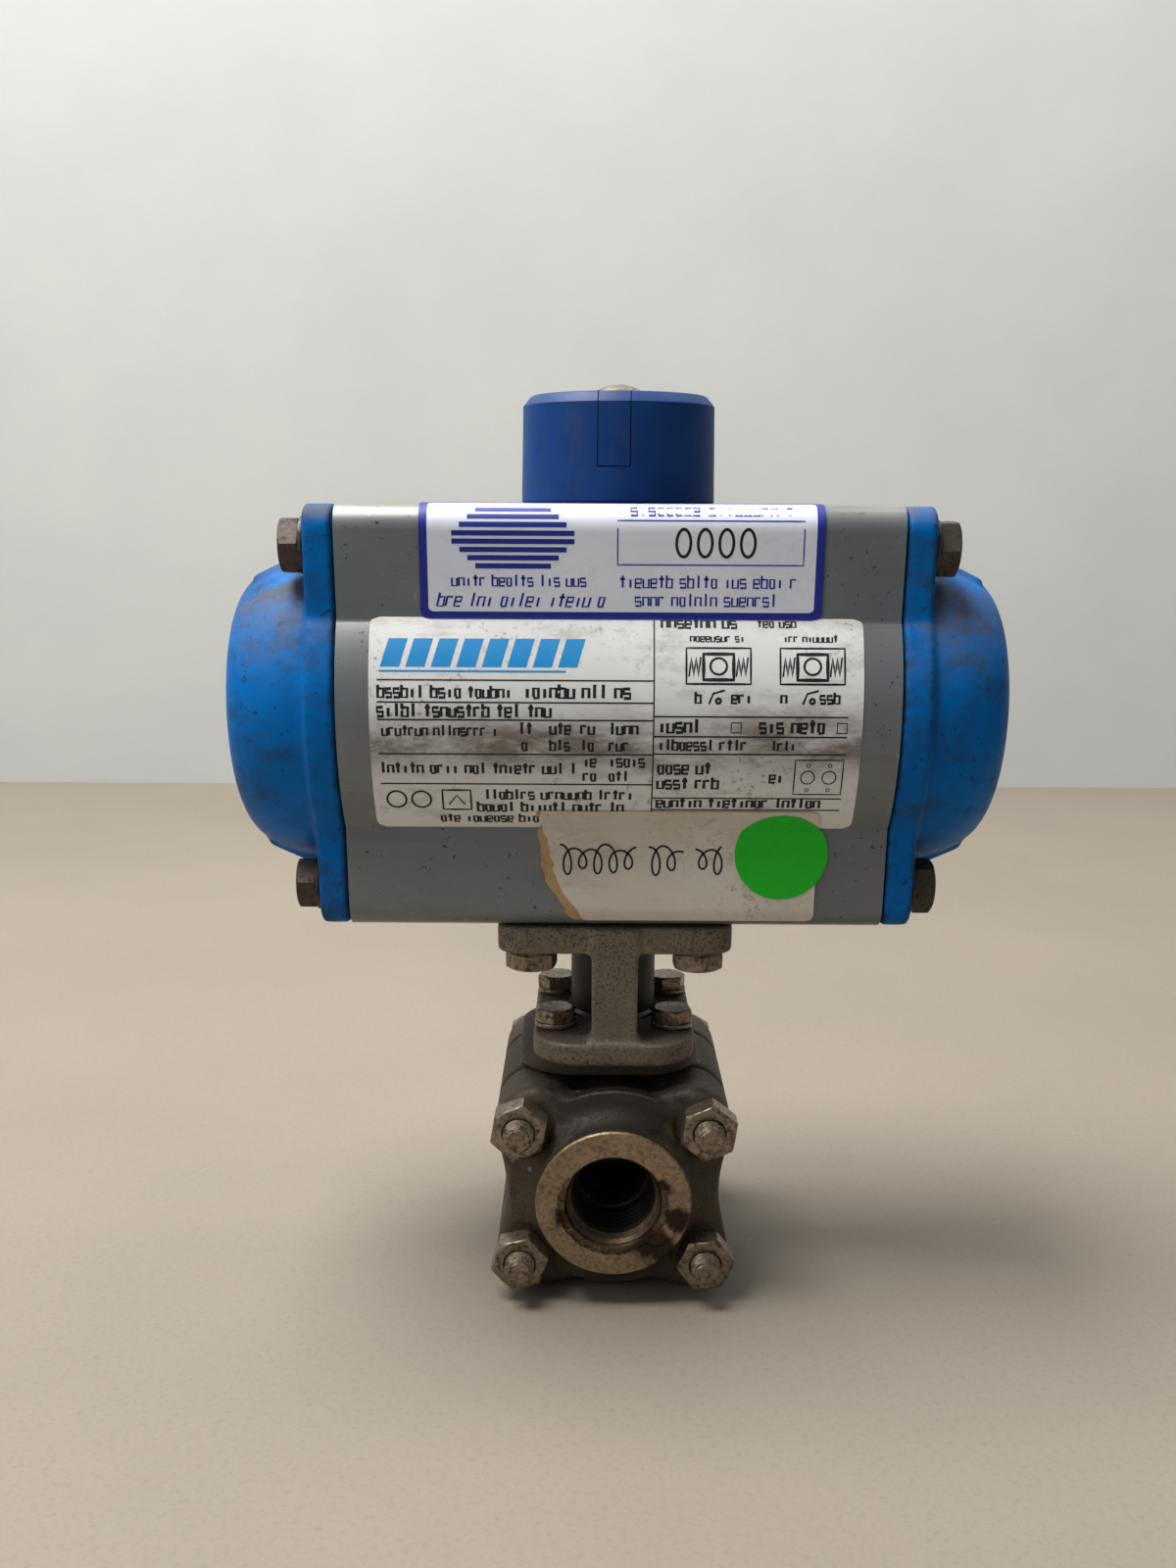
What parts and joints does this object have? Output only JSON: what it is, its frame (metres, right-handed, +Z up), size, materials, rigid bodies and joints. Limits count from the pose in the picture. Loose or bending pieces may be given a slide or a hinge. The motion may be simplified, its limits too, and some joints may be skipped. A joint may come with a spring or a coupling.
{
  "type": "actuated ball valve",
  "caption": "Three-piece threaded ball valve with a bracket-mounted, spring-return rack-and-pinion air actuator and a round position indicator.",
  "frame": {"origin": "on the flat bottom of the valve's centre body, straight under the stem axis", "axes": "+Z up along the stem; Y along the pipe, with the pictured port facing -Y; X along the actuator"},
  "size_m": [0.1606, 0.0754, 0.1882],
  "materials": {
    "grey_paint": "satin grey coated aluminium, dusty, scuffed at the corners",
    "blue_paint": "semi-gloss blue coating, chipped and smudged, dust on the upper faces",
    "blue_plastic": "moulded dark blue plastic, satin, worn top edge",
    "cast_steel": "investment-cast stainless steel, dull, pitted, grimy",
    "machined_steel": "turned stainless steel, tarnished",
    "bolt_steel": "stainless fasteners, worn bright edges, grime in the corners",
    "spring_steel": "phosphated spring steel",
    "blackened_steel": "dark oiled steel",
    "aluminium": "die-cast aluminium, matt",
    "rubber": "black nitrile rubber",
    "polymer": "white fluoropolymer and acetal",
    "label": "printed white vinyl labels and a torn paper tag",
    "green_sticker": "flat green paper dot"
  },
  "bodies": {
    "housing": {"valve_body": "cast_steel", "front_end_connection": "cast_steel", "rear_end_connection": "cast_steel", "front_seat": "polymer", "rear_seat": "polymer", "stem_packing": "polymer", "gland": "machined_steel", "bracket": "cast_steel", "actuator_body": "grey_paint", "left_end_cap": "blue_paint", "right_end_cap": "blue_paint", "left_cap_seal": "rubber", "right_cap_seal": "rubber", "lower_bearing": "polymer", "upper_bearing": "polymer", "left_spring": "spring_steel", "right_spring": "spring_steel", "body_bolt_left_lower": "bolt_steel", "body_nut_left_lower": "bolt_steel", "body_bolt_left_upper": "bolt_steel", "body_nut_left_upper": "bolt_steel", "pad_bolt_left_front": "bolt_steel", "bracket_bolt_left_front": "bolt_steel", "lock_washer_left_front": "bolt_steel", "left_cap_bolt_front_lower": "bolt_steel", "left_cap_bolt_front_upper": "bolt_steel", "pad_bolt_left_rear": "bolt_steel", "bracket_bolt_left_rear": "bolt_steel", "lock_washer_left_rear": "bolt_steel", "left_cap_bolt_rear_lower": "bolt_steel", "left_cap_bolt_rear_upper": "bolt_steel", "body_bolt_right_lower": "bolt_steel", "body_nut_right_lower": "bolt_steel", "body_bolt_right_upper": "bolt_steel", "body_nut_right_upper": "bolt_steel", "pad_bolt_right_front": "bolt_steel", "bracket_bolt_right_front": "bolt_steel", "lock_washer_right_front": "bolt_steel", "right_cap_bolt_front_lower": "bolt_steel", "right_cap_bolt_front_upper": "bolt_steel", "pad_bolt_right_rear": "bolt_steel", "bracket_bolt_right_rear": "bolt_steel", "lock_washer_right_rear": "bolt_steel", "right_cap_bolt_rear_lower": "bolt_steel", "right_cap_bolt_rear_upper": "bolt_steel"},
    "drive_train": {"pinion_shaft": "machined_steel", "circlip": "spring_steel", "indicator_cap": "blue_plastic", "indicator_insert_front": "blue_plastic", "indicator_insert_rear": "blue_plastic", "indicator_screw": "bolt_steel", "coupling": "blackened_steel", "stem": "machined_steel", "ball": "machined_steel"},
    "left_piston": {"left_piston": "aluminium", "left_piston_ring": "rubber"},
    "right_piston": {"right_piston": "aluminium", "right_piston_ring": "rubber"}
  },
  "joints": [
    {"name": "valve_turn", "type": "hinge", "parent": "housing", "child": "drive_train", "pos_m": [0, 0, 0.1235], "axis": [0, 0, 1], "range_deg": [0, 90], "stiffness_Nm_per_rad": 0.3, "springref_deg": -57.3},
    {"name": "right_piston_slide", "type": "slide", "parent": "housing", "child": "right_piston", "axis": [1, 0, 0], "range_m": [0, 0.01728], "deforming": ["right_spring"]},
    {"name": "left_piston_slide", "type": "slide", "parent": "housing", "child": "left_piston", "axis": [-1, 0, 0], "range_m": [0, 0.01728], "deforming": ["left_spring"]}
  ],
  "couplings": [
    {"joint": "right_piston_slide", "follows": "valve_turn", "m_per_rad": 0.011},
    {"joint": "left_piston_slide", "follows": "valve_turn", "m_per_rad": 0.011}
  ]
}
